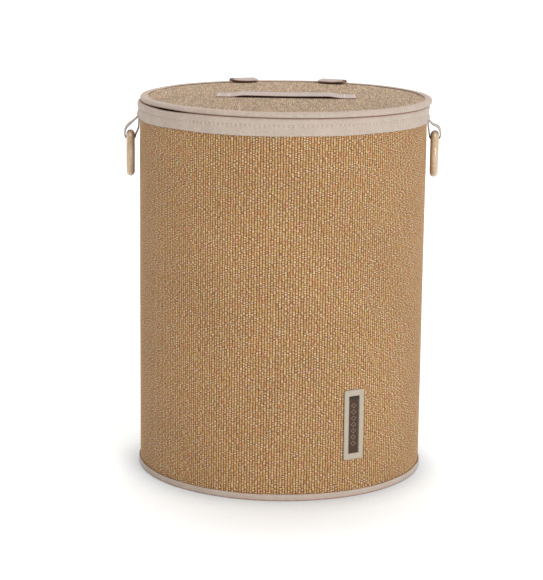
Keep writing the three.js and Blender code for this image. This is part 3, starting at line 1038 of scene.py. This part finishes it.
def rectangle(half_width, half_height, corner):
    """A rounded rectangle, as points (across, up), starting at the right-hand lower corner."""
    quarter = math.pi / 2
    out = []
    for k, (side, end) in enumerate(((1, -1), (1, 1), (-1, 1), (-1, -1))):
        for turn in np.linspace((k - 1) * quarter, k * quarter, 5):
            across = side * (half_width - corner) + corner * math.cos(turn)
            out.append((across, end * (half_height - corner) + corner * math.sin(turn)))
    return np.array(out)


def on_wall(across, up, depth, azimuth, height):
    """A point on the wall: across and up from the label's middle, and depth out from the cloth."""
    return place(azimuth + across / WALL_R, WALL_R + depth, height + up)


def make_label():
    """A leather frame, padded, with a dark plate in its window."""
    low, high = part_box("label_frame")
    plate_low, plate_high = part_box("label_plate")
    azimuth = math.atan2((low.x + high.x) / 2, -(low.y + high.y) / 2)
    height = (low.z + high.z) / 2
    tall, plate_tall = (high.z - low.z) / 2, (plate_high.z - plate_low.z) / 2
    end_border = tall - plate_tall - 0.25 * MM
    border = LABEL_BORDER / MM
    section = [
        (0, 0.05), (0, 1.5), (0.15, 1.95), (0.5, 2.2), (2.0, 2.3), (border - 0.9, 2.25),
        (border - 0.3, 1.95), (border, 1.4), (border, 0.05),
    ]
    loops = []
    for inset, depth in section:
        drop = inset / border * end_border
        corner = max(1.6 - inset * 0.15, 0.5) * MM
        loop = rectangle(LABEL_HALF_WIDTH - inset * MM, tall - drop, corner)
        loops.append(on_wall(loop[:, 0], loop[:, 1], depth * MM, azimuth, height))
    run = [(inset + depth) * MM for inset, depth in [*section, section[0]]]
    girth = lengths(closed(rectangle(LABEL_HALF_WIDTH, tall, 1.6 * MM)))
    uv = grid(run, girth)[..., ::-1]
    piece = skin("label_border", np.array(loops), uv, FRAME_HIDE, wrap_rows=True, wrap_columns=True)
    settle(piece, "bin", "label_frame", "label_frame")
    make_plate(azimuth, height, LABEL_HALF_WIDTH - LABEL_BORDER - 0.05 * MM, plate_tall)


def make_plate(azimuth, height, wide, tall):
    """The label's plate, reaching wide and tall each way: raised sides, a tooled row of diamonds, and
    painted shadow along its top under the frame's edge.
    """
    up, across = np.meshgrid(np.linspace(-tall, tall, 300), np.linspace(-wide, wide, 60), indexing="ij")
    from_side = wide - np.abs(across)
    rim = smooth(from_side, 0, 0.4 * MM) * (1 - smooth(from_side, 1.1 * MM, 1.6 * MM))
    half_row = tall - 8.5 * MM
    pitch = 2 * half_row / DIAMONDS
    within = (up + half_row) % pitch / pitch - 0.5
    lozenge = np.abs(within) * 2 + np.abs(across) / (5.0 * MM)
    outline, dot = bell(lozenge, 0.74, 0.12), bell(lozenge, 0.0, 0.2)
    figure = np.clip(outline + 0.8 * dot, 0, 1) * (np.abs(up) < half_row)
    # A shallow pocket along the top, painted dark there as the frame's shadow.
    shaded_pocket = smooth(up, tall - 5.5 * MM, tall - 4.0 * MM)
    depth = 0.4 * MM + 0.3 * MM * rim + 0.4 * MM * figure * (1 - rim) - 0.25 * MM * shaded_pocket
    crown = on_wall(across, up, depth, azimuth, height)
    base = on_wall(across[:, ::-1], up[:, ::-1], 0.1 * MM, azimuth, height)
    flat = np.stack([across, up], axis=-1)
    uv = np.concatenate([flat, flat[:, ::-1], flat[:, :1]], axis=1)
    points = np.concatenate([crown, base], axis=1)
    plate = skin("label_inlay", points, uv, PLATE_HIDE, wrap_columns=True, caps=True)
    # Raised parts are rubbed lighter; the pocket is left at 0, where the leather is painted dark as
    # shade.
    relief_and_shade = np.maximum(0.3 + 0.6 * figure, 0.65 * rim) * (1 - shaded_pocket)
    relief_and_shade = np.concatenate([relief_and_shade, np.zeros_like(relief_and_shade)], axis=1)
    plate.data.attributes.new("relief_and_shade", "FLOAT", "POINT").data.foreach_set("value", relief_and_shade.ravel())
    settle(plate, "bin", "label_plate", "label_plate")


# Hidden CAD nodes that only need a material -------------------------

def dress(node, material):
    """Gives a CAD node's own mesh a material."""
    for slot in frame["nodes"][node].material_slots:
        slot.link = "OBJECT"
        slot.material = material


make_camera()
make_studio()
make_wall()
make_lining()
make_band()
make_foot()
round_cloth("base_under_cloth", "base_cover", "bin", 31, sag=0.0)
round_cloth("base_floor_cloth", "base_lining", "bin", 32, sag=0.25 * MM)
make_lid_cloth()
make_lid_binding()
round_cloth("lid_under_cloth", "lid_lining", "lid", 33, sag=0.0)
make_pull_strap()
make_hinge_strap("left")
make_hinge_strap("right")
make_handle("left")
make_handle("right")
make_label()
for board in ("wall_stiffener_board", "base_board", "lid_board"):
    dress(board, BOARD)
dress("top_hoop_wire", HOOP)
